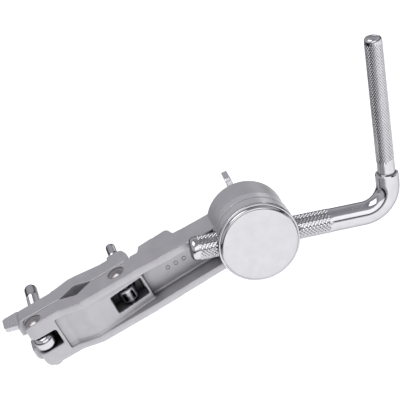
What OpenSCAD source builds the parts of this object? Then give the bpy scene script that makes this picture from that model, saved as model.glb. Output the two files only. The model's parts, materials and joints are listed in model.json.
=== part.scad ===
// Accessory multi-clamp for drum hardware: a cast arm with a V-jaw tube clamp at one end and a
// round, freely turning clamp joint at the other, which grips a stepped L-shaped rod.
// Origin: axis of the gripped tube, at the middle of the closed jaws.
// +X runs along the arm to the round joint, +Y to the rear (wing nut side), +Z along the tube.

/* [Tube clamp] */
// Half of the vee opening, along the arm
vee_half = 10.1; // [7:0.1:14]
// Depth of each vee
vee_depth = 6; // [4:0.1:7.5]
// Width of the jaws, along the tube
jaw_w = 28; // [24:0.5:36]
// Thickness of the rear jaw
jaw_t = 12.6; // [11:0.1:16]
// Tube axis to the tip bolt
tip_reach = 27.5; // [24:0.5:36]
// Tube axis to the heel bolt
heel_reach = 24.5; // [22:0.5:34]
// Gap between the closed jaws
seam_gap = 0.2; // [0.1:0.05:0.5]

/* [Arm] */
// Tube axis to the joint axis
reach = 100; // [90:1:140]
// Arm depth in front of the seam
arm_front = 16.8; // [15:0.1:20]
// Arm depth behind the seam
arm_rear = 2.4; // [2:0.1:4]
// Thickness of the arm's two side flanges
flange_t = 4.1; // [3:0.1:5]
// Thickness of the web between the flanges
web_t = 7.3; // [5:0.1:9]
// Half width of the arm where it meets the joint
neck_half = 12.6; // [11:0.1:14]

/* [Round joint] */
// Radius of the arm's boss
boss_r = 21.5; // [20:0.1:26]
// Radius of the two clamp discs
disc_r = 22.1; // [21:0.1:27]
// Thickness of the rear clamp disc
rear_disc_t = 7.1; // [6.5:0.1:9]
// Thickness of the front clamp disc
front_disc_t = 8.1; // [8:0.1:10]
// Height of the chromed cap
cap_h = 3.5; // [3.2:0.1:5]

/* [L rod] */
// Diameter of the thick part
rod_d = 12.7; // [9:0.1:13]
// Diameter of the thin part
thin_d = 9.5; // [6:0.1:12]
// Joint axis to the elbow
rod_out = 74.8; // [66:0.1:120]
// Joint axis to the inner end
rod_in = 36; // [30:0.5:42]
// Elbow to the free end
rod_up = 98.5; // [60:0.5:160]
// Centreline radius of the elbow
bend_r = 15; // [12:0.5:20]
// Elbow to the shoulder of the thin part
shoulder_up = 21; // [21:0.5:40]
// Tilt of the rod in the joint, degrees
rod_tilt = 20.3; // [0:0.1:45]

/* [Fasteners] */
// Diameter of the tip and joint bolts
bolt_d = 7.8; // [6:0.1:8]
// Diameter of the heel bolt
heel_bolt_d = 5.9; // [4:0.1:6]
// Free end of the tip bolt, behind the seam
tip_bolt_end = 59; // [50:1:70]
// Free end of the heel bolt, behind the seam
heel_bolt_end = 53.9; // [40:1:60]
// Length of the plain pilot at a bolt's free end
pilot_len = 13; // [4:0.5:14]
// Diameter of the pivot pins
pin_d = 4.4; // [3.5:0.1:5]
// Head diameter of the pivot pins
pin_head_d = 10.2; // [8:0.1:12]
// Wing nut: radius to the wing ends
wing_r = 20.5; // [16:0.1:24]
// Wing nut: hub radius
hub_r = 7; // [6.5:0.1:8]
// Wing nut: hub height
hub_h = 8; // [7:0.5:12]
// Wing nut: height over the wings
wing_h = 19; // [15:0.5:24]
// Wing nut: wing thickness
wing_t = 3.3; // [2:0.1:4]

/* [Clearances] */
// Radial clearance of turning and sliding fits
run_gap = 0.05; // [0.02:0.01:0.1]
// Radial clearance of fixed pins
pin_gap = 0.02; // [0.01:0.01:0.05]
// Gap between the two clamp discs
split_gap = 0.5; // [0.3:0.1:0.8]
// Side clearance of the bolt eyes
eye_gap = 0.5; // [0.3:0.05:1]
// Play between the tip washer and the closed jaw, which lets the bolt swing out of its slot
tip_play = 6; // [5.5:0.1:12]
// Play between the heel washer and the closed jaw, which lets the jaw tilt open
heel_play = 3; // [2.8:0.1:5]

/* [Hidden] */
$fn = 96;

cast_grey = [0.62, 0.62, 0.64];
steel = [0.75, 0.75, 0.77];
chrome = [0.86, 0.86, 0.88];
eps = 0.01;

// Jaws
half_w = jaw_w / 2;
seam_front = -seam_gap / 2;
seam_rear = seam_gap / 2;
fork_front = -arm_front + 5.2;
tip_x = -tip_reach;
heel_x = heel_reach;
arm_tip_x = tip_x - 6.3;
jaw_tip_x = tip_x - 9.8;
jaw_heel_x = heel_x + 9.1;
heel_step_x = jaw_heel_x + 0.8;
pin_depth = 7.1;
jaw_rear = jaw_t;
heel_pad = jaw_t + 3;
ramp_start = -vee_half - 2;
ramp_end = 0.6;

// Eyes and slots
eye_w = 8.5;
tip_slot = eye_w / 2 + eye_gap;
tip_slot_end = tip_x + 8.6;
tip_eye_r = 6;
heel_eye_r = 5.2;
heel_eye_w = 8;
head_pocket_half = pin_d / 2 + 1.1;
pilot_share = 0.96;
window_half = heel_eye_w / 2 + 1.5;
window_x0 = heel_x - 9.4;
window_x1 = heel_x + 10.2;
jaw_slot = bolt_d / 2 + 1.1;
jaw_slot_end = tip_x + jaw_slot;
heel_slot = heel_bolt_d / 2 + 0.45;
heel_slot_run = 1.5;

// Channel in the front of the arm
channel_half = half_w - flange_t;
hump_front = -arm_front + 1.9;
web_front = arm_rear - web_t;
block_front = web_front - 5;
block_x0 = vee_half - 4;
block_x1 = window_x1 + 1.4;

// Joint, measured along Y
joint_face = -arm_front + 0.1;
disc_seam = joint_face - rear_disc_t;
rod_y = disc_seam - 1.2;
cap_rear = disc_seam - front_disc_t;
cap_front = cap_rear - cap_h;
cap_r = disc_r + 0.25;
cap_wall = 0.9;
cap_round = 2.9;
eye_wall = 2.5;
joint_eye_r = rod_d / 2 + run_gap + eye_wall;
joint_eye_w = 8;
washer_t = 1.6;
washer_r = 8.5;
tip_seat = jaw_rear + tip_play;
joint_seat = arm_rear + washer_t;
ring_in = 13.5;
ring_out = 19.5;
ring_t = 1.2;
spring_r = 6.2;
spring_wire = 1.1;
spring_depth = 7;
screw_off = 14.5;
screw_r = 1.6;
screw_head_r = 3.2;

function arc(cx, cy, r, a0, a1, n) =
    [for (i = [0:n]) let (a = a0 + (a1 - a0) * i / n) [cx + r * cos(a), cy + r * sin(a)]];

// A solid whose outline is seen along the tube axis
module side(points, width) { linear_extrude(height = width, center = true) polygon(points); }

// A solid whose outline is seen along the bolts
module plan(points, y0, y1) {
    translate([0, y1, 0]) rotate([90, 0, 0]) linear_extrude(height = y1 - y0) polygon(points);
}

module along_y(x, y0, y1, r1, r2, z = 0) {
    translate([x, y0, z]) rotate([-90, 0, 0]) cylinder(h = y1 - y0, r1 = r1, r2 = r2);
}

module along_z(x, y, r, height) { translate([x, y, 0]) cylinder(h = height, r = r, center = true); }

// A low dome of radius r and height h, its flat side on z = 0
module dome(r, h) {
    ball = (r * r + h * h) / (2 * h);
    intersection() {
        translate([0, 0, h - ball]) sphere(r = ball);
        cylinder(h = h + eps, r = r);
    }
}

module in_joint() { translate([reach, rod_y, 0]) rotate([0, rod_tilt, 0]) children(); }

module rod_bore(r) { in_joint() rotate([0, 90, 0]) cylinder(h = 4 * disc_r, r = r, center = true); }

// ---- Arm ------------------------------------------------------------------------------------

arm_outline = concat(
    arc(arm_tip_x + 5, fork_front + 5, 5, 180, 270, 6),
    [[ramp_start, fork_front], [ramp_end, -arm_front], [reach, -arm_front], [reach, arm_rear],
     [reach - 38.5, arm_rear], [reach - 40.2, arm_rear + 6.2], [reach - 42, arm_rear + 8],
     [reach - 59, arm_rear + 5.8], [reach - 60.5, arm_rear], [heel_step_x, arm_rear],
     [heel_step_x, seam_front],
     [vee_half, seam_front], [0, -vee_depth], [-vee_half, seam_front], [arm_tip_x, seam_front]]);

arm_plan = concat(
    arc(arm_tip_x + 4, half_w - 4, 4, 180, 90, 6),
    [[heel_step_x, half_w], [reach - 22, neck_half], [reach, neck_half],
     [reach, -neck_half], [reach - 22, -neck_half], [heel_step_x, -half_w]],
    arc(arm_tip_x + 4, 4 - half_w, 4, 270, 180, 6));

channel_side = [
    [tip_x + 10.5, -arm_front - 1], [tip_x + 10.5, fork_front + 2], [ramp_start, fork_front + 2],
    [ramp_end - 0.4, hump_front], [block_x0, hump_front],
    [block_x1, block_front], [block_x1, web_front],
    [reach, web_front], [reach, -arm_front - 1]];

channel_plan = let (taper = (half_w - neck_half) / (reach - 22 - heel_step_x))
    [[tip_x, channel_half], [heel_step_x, channel_half],
     [reach, channel_half - taper * (reach - heel_step_x)],
     [reach, -channel_half + taper * (reach - heel_step_x)],
     [heel_step_x, -channel_half], [tip_x, -channel_half]];

module arm_channel() {
    difference() {
        intersection() {
            side(channel_side, jaw_w);
            plan(channel_plan, -arm_front - 2, arm_rear);
        }
        along_y(reach, -arm_front - 3, arm_rear + 1, boss_r, boss_r);
    }
}

module boss_cuts() {
    along_y(reach, joint_face - 1, arm_rear + 1, bolt_d / 2 + 0.3, bolt_d / 2 + 0.3);
    along_y(reach, joint_face - 1, joint_face + spring_depth, spring_r + 0.9, spring_r + 0.9);
    difference() {
        along_y(reach, joint_face - 1, joint_face + ring_t, ring_out + pin_gap, ring_out + pin_gap);
        along_y(reach, joint_face - 2, joint_face + ring_t + 1, ring_in - pin_gap, ring_in - pin_gap);
    }
}

module arm_casting() {
    color(cast_grey)
    difference() {
        union() {
            intersection() {
                side(arm_outline, jaw_w + 2);
                plan(arm_plan, -arm_front - 2, arm_rear + 10);
            }
            along_y(reach, joint_face, arm_rear - 1.6, boss_r, boss_r);
            along_y(reach, arm_rear - 1.6, arm_rear, boss_r, boss_r - 1.6);
        }
        // flat face under the turning disc
        along_y(reach, -arm_front - 3, joint_face, disc_r + 0.6, disc_r + 0.6);
        arm_channel();
        boss_cuts();
        // open slot of the tip bolt and window of the heel bolt
        translate([arm_tip_x - 5, -arm_front - 1, -tip_slot])
            cube([tip_slot_end - arm_tip_x + 5, arm_front + 2, 2 * tip_slot]);
        translate([window_x0, -arm_front - 1, -window_half])
            cube([window_x1 - window_x0, arm_front + 2, 2 * window_half]);
        // cross holes of the pivot pins
        along_z(tip_x, -pin_depth, pin_d / 2 + pin_gap, jaw_w + 4);
        along_z(heel_x, -pin_depth, pin_d / 2 + pin_gap, jaw_w + 4);
        // ejector marks on the web
        for (i = [0:2]) along_y(reach - 50 + 5 * i, web_front - 1, web_front + 0.2, 1.2, 1.2);
    }
}

// A plain pin with a domed head on the +Z side and a flat riveted head on the other
module pivot_pin(x) {
    color(steel)
    translate([x, -pin_depth, 0]) {
        cylinder(h = jaw_w, r = pin_d / 2, center = true);
        translate([0, 0, half_w]) dome(pin_head_d / 2, 1.6);
        translate([0, 0, -half_w - 1.2]) cylinder(h = 1.2, r1 = pin_d / 2 + 0.9, r2 = pin_d / 2 + 1.6);
    }
}

module tip_pivot_pin() { pivot_pin(tip_x); }
module heel_pivot_pin() { pivot_pin(heel_x); }

module friction_ring() {
    color([0.16, 0.15, 0.15])
    difference() {
        along_y(reach, joint_face, joint_face + ring_t, ring_out, ring_out);
        along_y(reach, joint_face - 1, joint_face + ring_t + 1, ring_in, ring_in);
    }
}

// ---- Rear jaw -------------------------------------------------------------------------------

jaw_outline = concat(
    [[jaw_tip_x, seam_rear], [-vee_half, seam_rear], [0, vee_depth], [vee_half, seam_rear],
     [jaw_heel_x, seam_rear], [jaw_heel_x, 5]],
    arc(jaw_heel_x - 5.2, heel_pad - 5.2, 5.2, 0, 90, 6),
    [[heel_x - 1.8, heel_pad], [heel_x - 2.2, jaw_rear - 0.3], [vee_half + 7, jaw_rear - 0.3],
     [1.5, jaw_rear + 3.3], [-2.5, jaw_rear + 3.5], [-vee_half - 4, jaw_rear],
     [jaw_tip_x + 1.2, jaw_rear], [jaw_tip_x, jaw_rear - 1.2]]);

jaw_plan = concat(
    arc(jaw_tip_x + 4.5, half_w - 4.5, 4.5, 180, 90, 6),
    [[jaw_heel_x - 2, half_w], [jaw_heel_x, half_w - 2], [jaw_heel_x, 2 - half_w],
     [jaw_heel_x - 2, -half_w]],
    arc(jaw_tip_x + 4.5, 4.5 - half_w, 4.5, 270, 180, 6));

jaw_channel = [
    [-vee_half - 6, jaw_rear + 5], [-vee_half - 2.5, jaw_rear - 2.6], [-3, jaw_rear - 0.6],
    [2, jaw_rear - 0.6], [vee_half + 5, jaw_rear - 2.8], [vee_half + 7, jaw_rear + 5]];

module rear_jaw() {
    color(cast_grey)
    difference() {
        intersection() {
            side(jaw_outline, jaw_w + 2);
            plan(jaw_plan, -1, heel_pad + 5);
        }
        side(jaw_channel, 2 * channel_half);
        translate([jaw_tip_x - 1, -1, -jaw_slot])
            cube([tip_x - jaw_tip_x + 1, jaw_rear + 2, 2 * jaw_slot]);
        along_y(tip_x, -1, jaw_rear + 1, jaw_slot, jaw_slot);
        for (dx = [-heel_slot_run, heel_slot_run])
            along_y(heel_x + dx, -1, heel_pad + 1, heel_slot, heel_slot);
        translate([heel_x - heel_slot_run, -1, -heel_slot])
            cube([2 * heel_slot_run, heel_pad + 2, 2 * heel_slot]);
    }
}

// ---- Bolts, washers and nuts ----------------------------------------------------------------

// Eye on a pivot pin, shank along +Y, then a plain pilot with a rounded end at y_end
module eye_bolt(x, eye_r, eye_width, shank_r, y_end) {
    pilot_r = shank_r * pilot_share;
    dome_h = pilot_r * 0.5;
    color(chrome)
    difference() {
        union() {
            along_z(x, -pin_depth, eye_r, eye_width);
            along_y(x, -pin_depth, y_end - pilot_len, shank_r, shank_r);
            along_y(x, y_end - pilot_len, y_end - dome_h, pilot_r, pilot_r);
            translate([x, y_end - dome_h, 0]) rotate([-90, 0, 0]) dome(pilot_r, dome_h);
        }
        along_z(x, -pin_depth, pin_d / 2 + run_gap, eye_width + 2);
    }
}

module washer(x, y, r_in, r_out, t) {
    color(steel)
    difference() {
        along_y(x, y, y + t, r_out, r_out);
        along_y(x, y - 1, y + t + 1, r_in, r_in);
    }
}

wing_outline = [
    [hub_r - 2, 0.4], [hub_r + 0.2, 0.4], [wing_r - 1.2, 6.9], [wing_r, 8.3], [wing_r, wing_h - 1.2],
    [wing_r - 1.2, wing_h], [wing_r - 9, wing_h], [wing_r - 10.4, wing_h - 1], [hub_r - 2, hub_h - 1.8]];

// Wing nut with its seat at y and its wings turned by angle about the bolt
module wing_nut(x, y, angle) {
    color(chrome)
    translate([x, y, 0]) rotate([0, angle, 0])
    difference() {
        union() {
            along_y(0, 0, hub_h - 1, hub_r, hub_r - 1.5);
            along_y(0, hub_h - 1, hub_h, hub_r - 1.5, hub_r - 2.5);
            side(wing_outline, wing_t);
            mirror([1, 0, 0]) side(wing_outline, wing_t);
        }
        along_y(0, -1, wing_h + 1, bolt_d / 2 + run_gap, bolt_d / 2 + run_gap);
    }
}

module tip_eye_bolt() { eye_bolt(tip_x, tip_eye_r, eye_w, bolt_d / 2, tip_bolt_end); }
// The heel bolt's head is hollow at the front, where its pin crosses it
module heel_eye_bolt() {
    color(chrome)
    difference() {
        eye_bolt(heel_x, heel_eye_r, heel_eye_w, heel_bolt_d / 2, heel_bolt_end);
        translate([heel_x - head_pocket_half, -pin_depth - heel_eye_r - 1, 1.3 - heel_eye_w / 2])
            cube([2 * head_pocket_half, heel_eye_r + 1 + pin_d / 2 + 0.6, heel_eye_w - 2.6]);
    }
}
module tip_washer() { washer(tip_x, tip_seat, bolt_d / 2 + run_gap, washer_r, washer_t); }
module tip_wing_nut() { wing_nut(tip_x, tip_seat + washer_t, 0); }

heel_seat = heel_pad + heel_play;
heel_washer_t = 1.2;
module heel_washer() {
    washer(heel_x, heel_seat, heel_bolt_d / 2 + run_gap, heel_bolt_d + 0.6, heel_washer_t);
}

// Hexagon lock nut with a round collar
module heel_nut() {
    across = heel_bolt_d / 2 * 1.95;
    color(steel)
    difference() {
        union() {
            translate([heel_x, heel_seat + heel_washer_t, 0])
                rotate([-90, 30, 0]) cylinder(h = 4.6, r = across, $fn = 6);
            along_y(heel_x, heel_seat + heel_washer_t + 4.2, heel_seat + heel_washer_t + 6.4,
                    across * 0.82, across * 0.7);
        }
        along_y(heel_x, heel_seat - 1, heel_seat + 12, heel_bolt_d / 2 + run_gap,
                heel_bolt_d / 2 + run_gap);
    }
}

// ---- Round joint ----------------------------------------------------------------------------

// Pocket for the eye of the joint bolt, in line with the rod
module eye_pocket(grow) {
    in_joint() rotate([0, 90, 0])
        cylinder(h = joint_eye_w + 2 * grow, r = joint_eye_r + grow, center = true);
}

module screw_places() {
    for (s = [-1, 1]) translate([reach, 0, 0]) rotate([0, rod_tilt, 0]) translate([0, 0, s * screw_off])
        children();
}

module rear_clamp_disc() {
    color(cast_grey)
    difference() {
        union() {
            along_y(reach, disc_seam, joint_face - 0.8, disc_r, disc_r);
            along_y(reach, joint_face - 0.8, joint_face, disc_r, disc_r - 0.6);
        }
        rod_bore(rod_d / 2 + run_gap);
        eye_pocket(0.3);
        along_y(reach, rod_y, joint_face + 1, bolt_d / 2 + run_gap, bolt_d / 2 + run_gap);
        screw_places() {
            along_y(0, disc_seam - 1, joint_face + 1, screw_r + pin_gap, screw_r + pin_gap);
            along_y(0, joint_face - 2.2, joint_face + 1, screw_head_r + 0.1, screw_head_r + 0.1);
        }
    }
}

module front_clamp_disc() {
    color(cast_grey)
    difference() {
        along_y(reach, cap_rear, disc_seam - split_gap, disc_r, disc_r);
        rod_bore(rod_d / 2 + run_gap);
        eye_pocket(0.3);
        screw_places()
            along_y(0, disc_seam - 5.5, disc_seam + 1, screw_r + pin_gap, screw_r + pin_gap);
    }
}

cap_profile = concat(
    [[0, 0]], [[cap_r - cap_round, 0]],
    [for (i = [1:6]) let (a = i * 15) [cap_r - cap_round + cap_round * sin(a),
                                      cap_round - cap_round * cos(a)]],
    [[cap_r, cap_h], [cap_r - cap_wall - 0.6, cap_h]],
    [[cap_r - cap_round, cap_wall], [0, cap_wall]]);

// Pressed and chromed cover, its rim resting on the front disc
module joint_cap() {
    color(chrome)
    translate([reach, cap_front, 0]) rotate([-90, 0, 0]) rotate_extrude() polygon(cap_profile);
}

module housing_screws() {
    color(steel)
    screw_places() {
        along_y(0, disc_seam - 5, joint_face - 2, screw_r, screw_r);
        along_y(0, joint_face - 2.2, joint_face - 0.3, screw_head_r, screw_head_r);
    }
}

joint_bolt_end = joint_seat + wing_h + 3;

module joint_eye_bolt() {
    color(chrome)
    difference() {
        union() {
            eye_pocket(0);
            along_y(reach, rod_y + rod_d / 2, joint_bolt_end - 2, bolt_d / 2, bolt_d / 2);
            translate([reach, joint_bolt_end - 2, 0]) rotate([-90, 0, 0]) dome(bolt_d / 2, 2);
        }
        rod_bore(rod_d / 2 + run_gap + 0.02);
    }
}

// Coil spring around the joint bolt, which parts the joint when the wing nut is loosened
spring_y0 = rod_y + joint_eye_r + 0.4;
spring_len = joint_face + spring_depth - 0.3 - spring_y0;
spring_turns = 4;
function coil_point(i, k) =
    let (a = 360 * i / 16, b = 45 * k, r = spring_r - spring_wire / 2 + spring_wire / 2 * cos(b))
    [reach + r * cos(a),
     spring_y0 + spring_wire / 2 + (spring_len - spring_wire) * i / (16 * spring_turns)
         + spring_wire / 2 * sin(b),
     r * sin(a)];
module joint_spring() {
    rings = 16 * spring_turns;
    color(steel)
    polyhedron(
        points = [for (i = [0:rings]) for (k = [0:7]) coil_point(i, k)],
        faces = concat(
            [[for (k = [0:7]) k]],
            [for (i = [0:rings - 1]) for (k = [0:7])
                let (a = 8 * i + k, b = 8 * i + (k + 1) % 8) [a, a + 8, b + 8, b]],
            [[for (k = [0:7]) 8 * rings + 7 - k]]));
}

module joint_washer() {
    washer(reach, joint_seat - washer_t, bolt_d / 2 + run_gap, washer_r, washer_t);
}
module joint_wing_nut() { wing_nut(reach, joint_seat, -84); }

// ---- L rod ----------------------------------------------------------------------------------

module l_rod() {
    straight = rod_out - bend_r;
    color(chrome)
    in_joint() {
        translate([-rod_in + 1.4, 0, 0]) rotate([0, 90, 0])
            cylinder(h = rod_in - 1.4 + straight, r = rod_d / 2);
        translate([-rod_in, 0, 0]) rotate([0, 90, 0])
            cylinder(h = 1.4, r1 = rod_d / 2 - 1.4, r2 = rod_d / 2);
        translate([straight, 0, bend_r]) rotate([90, 0, 0]) rotate([0, 0, 270])
            rotate_extrude(angle = 90) translate([bend_r, 0]) circle(r = rod_d / 2);
        translate([rod_out, 0, bend_r]) cylinder(h = shoulder_up - bend_r - 0.6, r = rod_d / 2);
        translate([rod_out, 0, shoulder_up - 0.6])
            cylinder(h = 0.6, r1 = rod_d / 2, r2 = rod_d / 2 - 0.6);
        translate([rod_out, 0, shoulder_up - 0.6])
            cylinder(h = rod_up - shoulder_up - 1.4, r = thin_d / 2);
        translate([rod_out, 0, rod_up - 2]) cylinder(h = 2, r1 = thin_d / 2, r2 = thin_d / 2 - 2);
    }
}

arm_casting();
tip_pivot_pin();
heel_pivot_pin();
friction_ring();
rear_jaw();
tip_eye_bolt();
tip_washer();
tip_wing_nut();
heel_eye_bolt();
heel_washer();
heel_nut();
rear_clamp_disc();
front_clamp_disc();
joint_cap();
housing_screws();
joint_eye_bolt();
joint_spring();
joint_washer();
joint_wing_nut();
l_rod();
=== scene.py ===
"""Looks of the accessory clamp: cast aluminium arm and jaw, chromed bolts, cap and knurled rod."""
import json
import math

import bpy
from mathutils import Matrix, Vector

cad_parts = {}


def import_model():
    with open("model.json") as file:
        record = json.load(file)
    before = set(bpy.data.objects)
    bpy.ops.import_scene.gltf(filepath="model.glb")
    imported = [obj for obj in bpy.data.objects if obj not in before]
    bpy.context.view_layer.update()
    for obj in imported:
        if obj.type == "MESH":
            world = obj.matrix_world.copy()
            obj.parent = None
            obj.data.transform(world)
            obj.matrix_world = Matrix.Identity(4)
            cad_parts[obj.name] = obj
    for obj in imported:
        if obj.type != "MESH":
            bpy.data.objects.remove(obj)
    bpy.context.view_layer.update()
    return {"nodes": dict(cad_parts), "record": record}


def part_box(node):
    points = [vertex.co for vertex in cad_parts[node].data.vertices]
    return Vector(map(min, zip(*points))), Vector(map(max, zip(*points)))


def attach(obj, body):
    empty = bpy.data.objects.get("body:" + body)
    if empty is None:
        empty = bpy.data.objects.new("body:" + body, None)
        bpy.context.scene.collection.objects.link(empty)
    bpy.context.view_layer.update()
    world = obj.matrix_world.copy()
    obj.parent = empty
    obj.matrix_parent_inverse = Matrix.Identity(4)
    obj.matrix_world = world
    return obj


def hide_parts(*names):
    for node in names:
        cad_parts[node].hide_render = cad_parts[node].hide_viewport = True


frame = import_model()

MM = 0.001
TURN = 2 * math.pi

# ---- Places, from the frame -------------------------------------------------------------------


def middle(node):
    low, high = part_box(node)
    return (Vector(low) + Vector(high)) / 2


def joint_of(name):
    return next(j for j in frame["record"]["behaviour"]["joints"] if j["name"] == name)


JOINT = middle("joint_cap")
ROD_AXIS = Vector(joint_of("rod_slide")["axis"])
ROD_UP = Vector((-ROD_AXIS.z, 0, ROD_AXIS.x))
ROD_CENTRE = Vector((JOINT.x, middle("l_rod").y, JOINT.z))

# ---- Sizes, in millimetres --------------------------------------------------------------------

ROD_D = 12.7
THIN_D = 9.5
ROD_IN = 36.0
ROD_OUT = 74.8
ROD_UP_LEN = 98.5
BEND_R = 15.0
SHOULDER_UP = 21.0
STUB_ROUND = 2.6
FREE_END_ROUND = 1.9
# a real knurl is about half as coarse; this one is as coarse as it needs to be to show
KNURL_ROUND = 22
KNURL_PITCH = 2.0
KNURL_DEEP = 0.5
KNURL_SUNK = 0.35
KNURL_FADE = 0.8
THICK_KNURL = (-32.0, 40.5)
THIN_KNURL_FROM_SHOULDER = 7
THIN_KNURL_FROM_END = 3
M8_PITCH = 1.25
M6_PITCH = 1.0
THREAD_HEIGHT = 0.61
THREAD_WORN = 0.72
JOINT_SHANK_R = 3.9
PILOT_LEN = 13.0
PIN_BORE = 2.25
POCKET_HALF = 3.3
POCKET_BEHIND_PIN = 2.8
MARKS_FROM_JOINT = (-50.0, -45.0, -40.0)
MARK_Y = -4.9
MARK_R = 1.1
MARK_DEEP = 0.35
PILOT_SHARE = 0.96
EYE_BOLTS = {
    # node: shank radius, where its thread starts, thread pitch, rounding of the eye's rim
    "tip_eye_bolt": (3.9, 6.0, M8_PITCH, 3.4),
    "heel_eye_bolt": (2.95, 10.0, M6_PITCH, 1.9),
}
CAP_WALL = 1.2
CAP_RIM_ROUND = 0.7
CAP_SHOULDER_ROUND = 1.7
CAP_SKIN = 0.8

# ---- Small helpers ----------------------------------------------------------------------------


def deselect():
    bpy.ops.object.select_all(action="DESELECT")


def choose(obj):
    deselect()
    obj.select_set(True)
    bpy.context.view_layer.objects.active = obj
    return obj


def edit(obj):
    choose(obj)
    bpy.ops.object.mode_set(mode="EDIT")
    bpy.ops.mesh.select_all(action="SELECT")


def leave_edit():
    bpy.ops.object.mode_set(mode="OBJECT")


def modify(obj, kind, **settings):
    """Adds one modifier and applies it."""
    choose(obj)
    mod = obj.modifiers.new(kind, kind)
    for key, value in settings.items():
        setattr(mod, key, value)
    bpy.ops.object.modifier_apply(modifier=mod.name)


def smooth(obj, degrees=None):
    choose(obj)
    if degrees is None:
        bpy.ops.object.shade_smooth()
    else:
        bpy.ops.object.shade_smooth_by_angle(angle=math.radians(degrees))


def tidy_normals(obj):
    edit(obj)
    bpy.ops.mesh.remove_doubles(threshold=0.002 * MM)
    bpy.ops.mesh.normals_make_consistent(inside=False)
    leave_edit()


def settle(obj, name, material, node, body=None):
    """Names a finished piece, gives it its finish, and puts it in its CAD node's place."""
    obj.name = name
    obj.data.name = name
    obj.data.materials.clear()
    obj.data.materials.append(material)
    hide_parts(node)
    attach(obj, body or body_of(node))
    return obj


def body_of(node):
    bodies = frame["record"]["behaviour"]["bodies"]
    return next(body for body, nodes in bodies.items() if node in nodes)


def copy_of(node):
    """A merged copy of a CAD node's mesh, free of its parent."""
    source = frame["nodes"][node]
    obj = bpy.data.objects.new(node + "_copy", source.data.copy())
    bpy.context.collection.objects.link(obj)
    edit(obj)
    bpy.ops.mesh.remove_doubles(threshold=0.004 * MM)
    leave_edit()
    return obj


def rounded_copy(node, voxel, passes):
    """The CAD shape with every edge rounded off, as tumbling leaves a casting."""
    obj = copy_of(node)
    modify(obj, "REMESH", mode="VOXEL", voxel_size=voxel * MM, use_smooth_shade=True)
    modify(obj, "SMOOTH", factor=0.5, iterations=passes)
    smooth(obj)
    return obj


def lathe(profile, steps, origin=Vector((0, 0, 0)), axis=Vector((0, 0, 1))):
    """Spins a profile of (radius, height) in millimetres about a line, as on a lathe."""
    mesh = bpy.data.meshes.new("turned")
    points = [(r * MM, 0, h * MM) for r, h in profile]
    mesh.from_pydata(points, [(i, i + 1) for i in range(len(points) - 1)], [])
    obj = bpy.data.objects.new("turned", mesh)
    bpy.context.collection.objects.link(obj)
    edit(obj)
    bpy.ops.mesh.spin(steps=steps, angle=TURN, center=(0, 0, 0), axis=(0, 0, 1))
    leave_edit()
    tidy_normals(obj)
    turn = Vector((0, 0, 1)).rotation_difference(axis).to_matrix().to_4x4()
    obj.data.transform(Matrix.Translation(origin) @ turn)
    return obj


def rounding(cx, cy, r, a0, a1, count=6):
    """Points of a round corner of a profile."""
    angles = [math.radians(a0 + (a1 - a0) * i / count) for i in range(count + 1)]
    return [(cx + r * math.cos(a), cy + r * math.sin(a)) for a in angles]


def span(r, start, end, step):
    """Points along a straight stretch of a profile, close enough together for a thread."""
    count = max(1, round((end - start) / step))
    return [(r, start + (end - start) * i / count) for i in range(1, count)]


def tooth(phase):
    """A triangle wave: 0 at whole phases, 1 half way between."""
    return 1 - abs(2 * (phase - math.floor(phase)) - 1)


# ---- Materials --------------------------------------------------------------------------------


def linear(hex_colour):
    """sRGB hex to linear RGBA."""
    parts = [int(hex_colour[i:i + 2], 16) / 255 for i in (1, 3, 5)]
    return [c / 12.92 if c <= 0.04045 else ((c + 0.055) / 1.055) ** 2.4 for c in parts] + [1]


def add(tree, kind, settings=None, **links):
    """Adds a node, sets its properties and sockets, and links what is given as a socket."""
    made = tree.nodes.new(kind)
    for key, value in (settings or {}).items():
        if hasattr(made, key):
            setattr(made, key, value)
        else:
            made.inputs[key].default_value = value
    for key, socket in links.items():
        target = made.inputs[int(key[1:])] if key[0] == "i" and key[1:].isdigit() else made.inputs[key]
        tree.links.new(socket, target)
    return made


def new_material(name):
    material = bpy.data.materials.new(name)
    material.use_nodes = True
    shader = material.node_tree.nodes["Principled BSDF"]
    return material, material.node_tree, shader


def colour_ramp(tree, factor, stops):
    ramp = add(tree, "ShaderNodeValToRGB")
    for element, (place, colour) in zip(ramp.color_ramp.elements, (stops[0], stops[-1])):
        element.position = place
        element.color = linear(colour)
    for place, colour in stops[1:-1]:
        ramp.color_ramp.elements.new(place).color = linear(colour)
    tree.links.new(factor, ramp.inputs["Fac"])
    return ramp.outputs["Color"]


def rough_range(tree, factor, low, high):
    spread = add(tree, "ShaderNodeMapRange", {"To Min": low, "To Max": high})
    tree.links.new(factor, spread.inputs["Value"])
    return spread.outputs["Result"]


def per_mm(size):
    """Texture scale for a pattern whose features are this many millimetres across."""
    return 1 / (size * MM)


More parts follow.
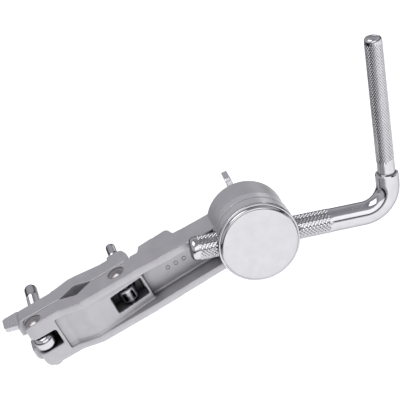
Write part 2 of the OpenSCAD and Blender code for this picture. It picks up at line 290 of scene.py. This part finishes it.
def cast_aluminium(name, pale, dark, rough):
    """Die-cast aluminium, tumbled: satin, faintly mottled, with a fine orange-peel skin."""
    material, tree, shader = new_material(name)
    place = add(tree, "ShaderNodeTexCoord").outputs["Object"]
    mottle = add(tree, "ShaderNodeTexNoise", {"Scale": per_mm(9.0), "Detail": 3.0}, Vector=place)
    skin = add(tree, "ShaderNodeTexNoise", {"Scale": per_mm(0.8), "Detail": 2.0}, Vector=place)
    # painted shade: recesses are darkened by ambient occlusion multiplied into the base colour
    occlusion = add(tree, "ShaderNodeAmbientOcclusion", {"samples": 8, "Distance": 8 * MM})
    colour = colour_ramp(tree, mottle.outputs["Fac"], [(0.3, dark), (0.7, pale)])
    painted_recess_shade = colour_ramp(tree, occlusion.outputs["AO"], [(0.2, "#26252A"), (0.8, "#FFFFFF")])
    shaded = add(tree, "ShaderNodeMix", {"data_type": "RGBA", "blend_type": "MULTIPLY"},
                 i6=colour, i7=painted_recess_shade)
    shaded.inputs[0].default_value = 1.0
    bump = add(tree, "ShaderNodeBump", {"Strength": 0.22, "Distance": 0.06 * MM},
               Height=skin.outputs["Fac"])
    tree.links.new(shaded.outputs[2], shader.inputs["Base Color"])
    tree.links.new(rough_range(tree, mottle.outputs["Fac"], rough - 0.05, rough + 0.05),
                   shader.inputs["Roughness"])
    tree.links.new(bump.outputs["Normal"], shader.inputs["Normal"])
    shader.inputs["Metallic"].default_value = 0.72
    return material


def chrome(name, dull, bright, rough, polish):
    """Bright chrome plate over polished steel: a sharp mirror with the faint haze of handling."""
    material, tree, shader = new_material(name)
    place = add(tree, "ShaderNodeTexCoord").outputs["Object"]
    haze = add(tree, "ShaderNodeTexNoise", {"Scale": per_mm(6.0), "Detail": 4.0}, Vector=place)
    wave = add(tree, "ShaderNodeTexNoise", {"Scale": per_mm(3.0), "Detail": 1.0}, Vector=place)
    bump = add(tree, "ShaderNodeBump", {"Strength": polish, "Distance": 0.02 * MM},
               Height=wave.outputs["Fac"])
    tree.links.new(rough_range(tree, haze.outputs["Fac"], rough * 0.7, rough * 1.3),
                   shader.inputs["Roughness"])
    tree.links.new(bump.outputs["Normal"], shader.inputs["Normal"])
    colour = colour_ramp(tree, haze.outputs["Fac"], [(0.3, dull), (0.8, bright)])
    # painted shade: the bottom of knurl and thread is darkened by pointiness multiplied into the base
    # colour
    hollow = add(tree, "ShaderNodeNewGeometry").outputs["Pointiness"]
    painted_crease_shade = colour_ramp(tree, hollow, [(0.44, "#7C7B7E"), (0.49, "#FFFFFF")])
    hazed_and_shaded = add(tree, "ShaderNodeMix", {"data_type": "RGBA", "blend_type": "MULTIPLY"},
               i6=colour, i7=painted_crease_shade)
    hazed_and_shaded.inputs[0].default_value = 1.0
    tree.links.new(hazed_and_shaded.outputs[2], shader.inputs["Base Color"])
    # worn plate reflects less at a glancing angle than a perfect mirror
    shader.inputs["Specular Tint"].default_value = linear("#A0A0A4")
    shader.inputs["Metallic"].default_value = 1.0
    return material


def nickel_casting():
    """Nickel-plated zinc casting: softer and greyer than chrome, with a faint cast skin."""
    material, tree, shader = new_material("nickel_plated_casting")
    place = add(tree, "ShaderNodeTexCoord").outputs["Object"]
    skin = add(tree, "ShaderNodeTexNoise", {"Scale": per_mm(1.2), "Detail": 2.0}, Vector=place)
    bump = add(tree, "ShaderNodeBump", {"Strength": 0.15, "Distance": 0.05 * MM},
               Height=skin.outputs["Fac"])
    tree.links.new(colour_ramp(tree, skin.outputs["Fac"], [(0.3, "#BDBCC1"), (0.7, "#CBCACE")]),
                   shader.inputs["Base Color"])
    tree.links.new(rough_range(tree, skin.outputs["Fac"], 0.24, 0.34), shader.inputs["Roughness"])
    tree.links.new(bump.outputs["Normal"], shader.inputs["Normal"])
    shader.inputs["Metallic"].default_value = 0.92
    return material


def zinc_plate():
    """Zinc-plated steel: bright and even, with a fine grain."""
    material, tree, shader = new_material("zinc_plated_steel")
    place = add(tree, "ShaderNodeTexCoord").outputs["Object"]
    grain = add(tree, "ShaderNodeTexNoise", {"Scale": per_mm(0.6), "Detail": 2.0}, Vector=place)
    bump = add(tree, "ShaderNodeBump", {"Strength": 0.12, "Distance": 0.03 * MM},
               Height=grain.outputs["Fac"])
    tree.links.new(colour_ramp(tree, grain.outputs["Fac"], [(0.3, "#C2C1C4"), (0.7, "#D2D2D4")]),
                   shader.inputs["Base Color"])
    tree.links.new(rough_range(tree, grain.outputs["Fac"], 0.22, 0.36), shader.inputs["Roughness"])
    tree.links.new(bump.outputs["Normal"], shader.inputs["Normal"])
    shader.inputs["Metallic"].default_value = 0.95
    return material


def friction_fibre():
    """Pressed friction fibre: dark, matte and grainy."""
    material, tree, shader = new_material("pressed_friction_fibre")
    place = add(tree, "ShaderNodeTexCoord").outputs["Object"]
    grain = add(tree, "ShaderNodeTexNoise", {"Scale": per_mm(0.7), "Detail": 3.0}, Vector=place)
    tree.links.new(colour_ramp(tree, grain.outputs["Fac"], [(0.3, "#1E1B1A"), (0.7, "#34302E")]),
                   shader.inputs["Base Color"])
    shader.inputs["Roughness"].default_value = 0.85
    return material


CAST = cast_aluminium("tumbled_cast_aluminium", "#C2C1C4", "#B8B7BB", 0.45)
TURNED = cast_aluminium("turned_cast_aluminium", "#CDCCD0", "#C5C4C8", 0.34)
PIN_STEEL = chrome("dull_pin_steel", "#A3A0A1", "#B5B2B3", 0.24, 0.25)
CHROME = chrome("bright_chrome_plate", "#C6C6C9", "#D0D0D3", 0.08, 0.10)
MIRROR = chrome("mirror_chrome_plate", "#C2C2C4", "#CACACC", 0.06, 0.03)
NICKEL = nickel_casting()
ZINC = zinc_plate()
FIBRE = friction_fibre()

# ---- Castings ---------------------------------------------------------------------------------

CASTINGS = [
    # node, voxel and smoothing passes, piece, finish
    ("arm_casting", 0.5, 4, "cast_arm", CAST),
    ("rear_jaw", 0.42, 4, "cast_rear_jaw", CAST),
    ("rear_clamp_disc", 0.36, 3, "turned_rear_disc", TURNED),
    ("front_clamp_disc", 0.36, 3, "turned_front_disc", TURNED),
]


def ejector_marks(arm):
    """Presses the ejector pins' three fine rings into the floor of the arm's channel."""
    rings = []
    for away in MARKS_FROM_JOINT:
        centre = Vector((JOINT.x + away * MM, MARK_Y * MM, 0))
        groove = [(MARK_R - 0.2, -0.5), (MARK_R + 0.2, -0.5), (MARK_R + 0.2, MARK_DEEP),
                  (MARK_R - 0.2, MARK_DEEP), (MARK_R - 0.2, -0.5)]
        rings.append(lathe(groove, 32, centre, Vector((0, 1, 0))))
    cutter = choose(rings[0])
    for ring in rings[1:]:
        ring.select_set(True)
    bpy.ops.object.join()
    modify(arm, "BOOLEAN", operation="DIFFERENCE", object=cutter, solver="EXACT")
    bpy.data.objects.remove(cutter)
    smooth(arm, 40)


def castings():
    for node, voxel, passes, name, finish in CASTINGS:
        piece = rounded_copy(node, voxel, passes)
        if node == "arm_casting":
            ejector_marks(piece)
        settle(piece, name, finish, node)


def wing_nuts():
    for node in ("tip_wing_nut", "joint_wing_nut"):
        settle(rounded_copy(node, 0.3, 2), "winged_" + node, NICKEL, node)


def small_steel():
    for node in ("tip_pivot_pin", "heel_pivot_pin"):
        settle(rounded_copy(node, 0.22, 3), "riveted_" + node, PIN_STEEL, node)
    for node, passes in (("tip_washer", 2), ("heel_washer", 2), ("joint_washer", 2), ("heel_nut", 3)):
        settle(rounded_copy(node, 0.2, passes), "plated_" + node, ZINC, node)


# ---- Chromed cap ------------------------------------------------------------------------------


def cap():
    """Pressed cover: straight rim, a shallow step, then a rounded shoulder up to a flat face."""
    low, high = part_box("joint_cap")
    height = (high[1] - low[1]) / MM
    radius = (high[0] - low[0]) / 2 / MM
    step = height * 0.5
    rim, shoulder = CAP_RIM_ROUND, CAP_SHOULDER_ROUND
    outer = [(radius - CAP_WALL, 0), (radius, 0)]
    outer += rounding(radius - rim, step - rim, rim, 0, 90) + [(radius - 1.15, step)]
    outer += rounding(radius - CAP_WALL - shoulder, height - shoulder, shoulder, 0, 90)
    outer += [(radius - 6, height - 0.02), (0, height)]
    inner = [(0, height - CAP_SKIN), (radius - 4, height - CAP_SKIN), (radius - 2, step - CAP_SKIN),
             (radius - CAP_WALL, 0)]
    obj = lathe(outer + inner, 160, Vector((JOINT.x, high[1], JOINT.z)), Vector((0, -1, 0)))
    smooth(obj, 32)
    return settle(obj, "chromed_cap", MIRROR, "joint_cap")


# ---- Knurled L rod ----------------------------------------------------------------------------


def bend_place(s, along_radius, side):
    """Where a point of the straight bar lies once the bar is bent; s runs along the bar."""
    straight = ROD_OUT - BEND_R
    arc = BEND_R * math.pi / 2
    if s <= straight:
        return Vector((s, side, along_radius))
    if s >= straight + arc:
        return Vector((ROD_OUT - along_radius, side, BEND_R + s - straight - arc))
    angle = (s - straight) / BEND_R
    occlusion = BEND_R - along_radius
    return Vector((straight + occlusion * math.sin(angle), side, BEND_R - occlusion * math.cos(angle)))


def knurl(s, theta, start, end):
    """Height of the diamond knurl, fading out at its two ends."""
    if not start <= s <= end:
        return 0.0
    around = KNURL_ROUND * theta / TURN
    along = s / KNURL_PITCH
    fade = min(1, (s - start) / KNURL_FADE, (end - s) / KNURL_FADE)
    return KNURL_DEEP * (min(tooth(around + along), tooth(around - along)) - KNURL_SUNK) * fade


def l_rod():
    """The stepped rod, turned straight with its knurls and then bent at the elbow."""
    thick, thin = ROD_D / 2, THIN_D / 2
    shoulder = ROD_OUT - BEND_R + BEND_R * math.pi / 2 + SHOULDER_UP - BEND_R
    free_end = shoulder + ROD_UP_LEN - SHOULDER_UP
    thin_knurl = (shoulder + THIN_KNURL_FROM_SHOULDER, free_end - THIN_KNURL_FROM_END)
    profile = [(0, -ROD_IN)]
    profile += rounding(thick - STUB_ROUND, -ROD_IN + STUB_ROUND, STUB_ROUND, -90, 0)
    profile += span(thick, THICK_KNURL[0], THICK_KNURL[1], KNURL_PITCH / 4)
    profile += span(thick, THICK_KNURL[1], shoulder - 0.8, 1.0)
    profile += [(thick, shoulder - 0.8), (thick - 0.25, shoulder - 0.2), (thick - 0.8, shoulder),
                (thin + 0.35, shoulder), (thin, shoulder + 0.3)]
    profile += span(thin, shoulder + 0.3, thin_knurl[0], 1.0)
    profile += span(thin, thin_knurl[0], thin_knurl[1], KNURL_PITCH / 4)
    profile += [(thin, free_end - 2.2)]
    profile += rounding(thin - FREE_END_ROUND, free_end - FREE_END_ROUND, FREE_END_ROUND, 0, 90)
    profile += [(0, free_end)]
    obj = lathe(profile, 4 * KNURL_ROUND)
    place = Matrix.Translation(ROD_CENTRE) @ Matrix((
        (ROD_AXIS.x, 0, ROD_UP.x, 0), (0, 1, 0, 0), (ROD_AXIS.z, 0, ROD_UP.z, 0), (0, 0, 0, 1)))
    for vertex in obj.data.vertices:
        across, side, s = vertex.co / MM
        radius = math.hypot(across, side)
        if radius > thin - 0.01:
            theta = math.atan2(side, across)
            grow = knurl(s, theta, *THICK_KNURL) + knurl(s, theta, *thin_knurl)
            across *= 1 + grow / radius
            side *= 1 + grow / radius
        vertex.co = place @ (bend_place(s, across, side) * MM)
    tidy_normals(obj)
    smooth(obj, 22)
    return settle(obj, "knurled_l_rod", CHROME, "l_rod")


# ---- Eye bolts --------------------------------------------------------------------------------


def threaded_shank(x, y_start, thread_start, y_end, radius, pitch, pilot):
    """A round shank along +Y with a real helical thread, then a plain pilot with a round end."""
    pilot_r = radius * PILOT_SHARE if pilot else radius - 0.4
    pilot_y = y_end - (PILOT_LEN if pilot else 3.0)
    core = radius - THREAD_HEIGHT * pitch * THREAD_WORN
    profile = [(0, y_start), (radius, y_start), (radius, thread_start)]
    profile += span(radius, thread_start, pilot_y, pitch / 6)
    profile += [(pilot_r, pilot_y + 0.4)] + span(pilot_r, pilot_y + 0.4, y_end - pilot_r * 0.5, 1.5)
    profile += [(pilot_r * math.cos(a), y_end - pilot_r * 0.5 * (1 - math.sin(a)))
                for a in [math.radians(15 * i) for i in range(7)]]
    obj = lathe(profile, 48, Vector((x * MM, 0, 0)), Vector((0, 1, 0)))
    for vertex in obj.data.vertices:
        dx, dz, y = vertex.co.x / MM - x, vertex.co.z / MM, vertex.co.y / MM
        if thread_start < y < pilot_y and math.hypot(dx, dz) > radius - 0.01:
            turn = math.atan2(dx, dz) / TURN
            fade = min(1, (y - thread_start) / pitch, (pilot_y - y) / pitch)
            depth = (radius - core) * (1 - tooth(y / pitch - turn)) * fade
            scale = (radius - depth) / radius
            vertex.co.x = (x + dx * scale) * MM
            vertex.co.z = dz * scale * MM
    return obj


def eye_ring(x, y, radius, width, bore, soft):
    """The bolt's eye: a disc across the pivot pin, its rim rounded, bored for the pin."""
    profile = [(bore, -width / 2 + 0.3), (bore + 0.3, -width / 2), (radius - soft, -width / 2)]
    profile += rounding(radius - soft, -width / 2 + soft, soft, -90, 0)
    profile += rounding(radius - soft, width / 2 - soft, soft, 0, 90)
    profile += [(bore + 0.3, width / 2), (bore, width / 2 - 0.3), (bore, -width / 2 + 0.3)]
    return lathe(profile, 72, Vector((x * MM, y * MM, 0)))


def hollow_head(obj, pin, radius, width):
    """Opens the front of the heel bolt's head, where its pin crosses."""
    deselect()
    bpy.ops.mesh.primitive_cube_add(size=1, location=(0, 0, 0))
    cutter = bpy.context.object
    depth = radius + 1 + POCKET_BEHIND_PIN
    centre = Vector((pin.x, pin.y + POCKET_BEHIND_PIN - depth / 2, 0))
    size = Vector((2 * POCKET_HALF, depth, width - 2.6))
    cutter.data.transform(Matrix.Translation(centre * MM) @ Matrix.Diagonal(size * MM).to_4x4())
    edit(cutter)
    bpy.ops.mesh.bevel(offset=0.8 * MM, segments=3, affect="EDGES")
    leave_edit()
    modify(obj, "BOOLEAN", operation="DIFFERENCE", object=cutter, solver="EXACT")
    bpy.data.objects.remove(cutter)


def eye_bolt(node):
    """An eye bolt of the jaws: its eye on the pivot pin, its threaded shank welded to it."""
    shank, thread_start, pitch, soft = EYE_BOLTS[node]
    low, high = [Vector(corner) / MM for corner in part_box(node)]
    pin = middle(node.split("_")[0] + "_pivot_pin") / MM
    radius = pin.y - low.y
    ring = eye_ring(pin.x, pin.y, radius, high.z - low.z, PIN_BORE, soft)
    rod = threaded_shank(pin.x, pin.y + radius * 0.62, thread_start, high.y, shank, pitch, True)
    modify(ring, "BOOLEAN", operation="UNION", object=rod, solver="EXACT")
    bpy.data.objects.remove(rod)
    if node == "heel_eye_bolt":
        hollow_head(ring, pin, radius, high.z - low.z)
    smooth(ring, 40)
    return settle(ring, "chromed_" + node, CHROME, node)


def joint_bolt():
    """The joint's bolt keeps its eye from CAD and gets a threaded shank behind the boss."""
    node = "joint_eye_bolt"
    high = Vector(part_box(node)[1]) / MM
    washer_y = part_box("joint_washer")[0][1] / MM
    obj = rounded_copy(node, 0.25, 2)
    edit(obj)
    bpy.ops.mesh.bisect(plane_co=(0, (washer_y - 4) * MM, 0), plane_no=(0, 1, 0), use_fill=True,
                        clear_outer=True)
    leave_edit()
    rod = threaded_shank(JOINT.x / MM, washer_y - 5, washer_y - 3, high.y, JOINT_SHANK_R, M8_PITCH,
                         False)
    modify(obj, "BOOLEAN", operation="UNION", object=rod, solver="EXACT")
    bpy.data.objects.remove(rod)
    smooth(obj, 40)
    return settle(obj, "chromed_" + node, CHROME, node)


# ---- Build ------------------------------------------------------------------------------------

castings()
wing_nuts()
small_steel()
cap()
l_rod()
for bolt in EYE_BOLTS:
    eye_bolt(bolt)
joint_bolt()

# the ring, the spring and the screws are inside the joint, and keep their CAD meshes
for node_name, finish in (("friction_ring", FIBRE), ("joint_spring", ZINC), ("housing_screws", ZINC)):
    cad = frame["nodes"][node_name]
    cad.data.materials.clear()
    cad.data.materials.append(finish)

# ---- Studio -----------------------------------------------------------------------------------

FLOOR_DROP = 260.0
FLOOR_SIZE = 12
FLOOR_GLOW = 0.6
FAR_GLOW = 0.25
GREY_FROM, GREY_TO = 1.0, 1.6
CENTRE = (0.09, 0, 0)
CAMERA_AT = Vector((105.44, -975.82, 486.91))
CAMERA_TURN = (61.082, 27.410, -12.984)
CAMERA_LENS = 180


def floor():
    """A plain, pale, matte floor, lit from below like a light table."""
    deselect()
    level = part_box("l_rod")[0][2] - FLOOR_DROP * MM
    bpy.ops.mesh.primitive_plane_add(size=FLOOR_SIZE, location=(0, 0, level))
    plane = bpy.context.object
    plane.name = "floor"
    material, tree, shader = new_material("pale_floor")
    shader.inputs["Roughness"].default_value = 0.9
    shader.inputs["Specular IOR Level"].default_value = 0.1
    shader.inputs["Emission Color"].default_value = linear("#FFFFFF")
    # mirrors see the sheet grow greyer from a metre out, which keeps dark edges in the chrome
    place = add(tree, "ShaderNodeTexCoord").outputs["Object"]
    away = add(tree, "ShaderNodeVectorMath", {"operation": "LENGTH"}, i0=place).outputs["Value"]
    beyond = add(tree, "ShaderNodeMapRange", {"From Min": GREY_FROM, "From Max": GREY_TO},
                 Value=away).outputs["Result"]
    mirrored = add(tree, "ShaderNodeLightPath").outputs["Is Glossy Ray"]
    hidden = add(tree, "ShaderNodeMath", {"operation": "MULTIPLY"},
                 i0=beyond, i1=mirrored).outputs["Value"]
    lit = add(tree, "ShaderNodeMapRange", {"To Min": FLOOR_GLOW, "To Max": FAR_GLOW},
              Value=hidden).outputs["Result"]
    sheet = colour_ramp(tree, hidden, [(0.0, "#F2F2F2"), (1.0, "#8E8E90")])
    tree.links.new(lit, shader.inputs["Emission Strength"])
    tree.links.new(sheet, shader.inputs["Base Color"])
    plane.data.materials.append(material)


def area_light(name, place, target, size, power, colour="#FFFFFF"):
    data = bpy.data.lights.new(name, "AREA")
    data.shape = "RECTANGLE"
    data.size, data.size_y = size
    data.energy = power
    data.color = linear(colour)[:3]
    lamp = bpy.data.objects.new(name, data)
    bpy.context.collection.objects.link(lamp)
    lamp.location = place
    lamp.rotation_euler = (Vector(target) - Vector(place)).to_track_quat("-Z", "Y").to_euler()
    return lamp


def world():
    """A soft grey room: a dark line where the walls meet the floor, then mid grey."""
    room = bpy.data.worlds.new("soft_room")
    bpy.context.scene.world = room
    room.use_nodes = True
    tree = room.node_tree
    back = tree.nodes["Background"]
    place = add(tree, "ShaderNodeTexCoord").outputs["Generated"]
    height = add(tree, "ShaderNodeSeparateXYZ", Vector=place).outputs["Z"]
    shade = colour_ramp(tree, height, [(0.0, "#141416"), (0.10, "#242428"), (0.18, "#C2C1C6"),
                                       (0.50, "#CECDD2"), (0.72, "#B0AFB4"), (1.0, "#8A898E")])
    tree.links.new(shade, back.inputs["Color"])
    back.inputs["Strength"].default_value = 1.0


def camera():
    data = bpy.data.cameras.new("camera")
    data.lens = CAMERA_LENS
    data.sensor_width = 36
    data.clip_end = 20
    eye = bpy.data.objects.new("camera", data)
    bpy.context.collection.objects.link(eye)
    eye.location = CAMERA_AT * MM
    eye.rotation_euler = [math.radians(a) for a in CAMERA_TURN]
    bpy.context.scene.camera = eye


floor()
world()
camera()
area_light("front_key", (0.2, -1.5, 0.6), CENTRE, (1.8, 1.1), 6)
area_light("right_strip", (0.77, 1.44, 0.1), CENTRE, (0.16, 0.5), 0.5)
area_light("top_soft", (-0.3, -0.2, 1.9), CENTRE, (1.4, 1.4), 14)
bpy.context.scene.view_settings.view_transform = "Standard"
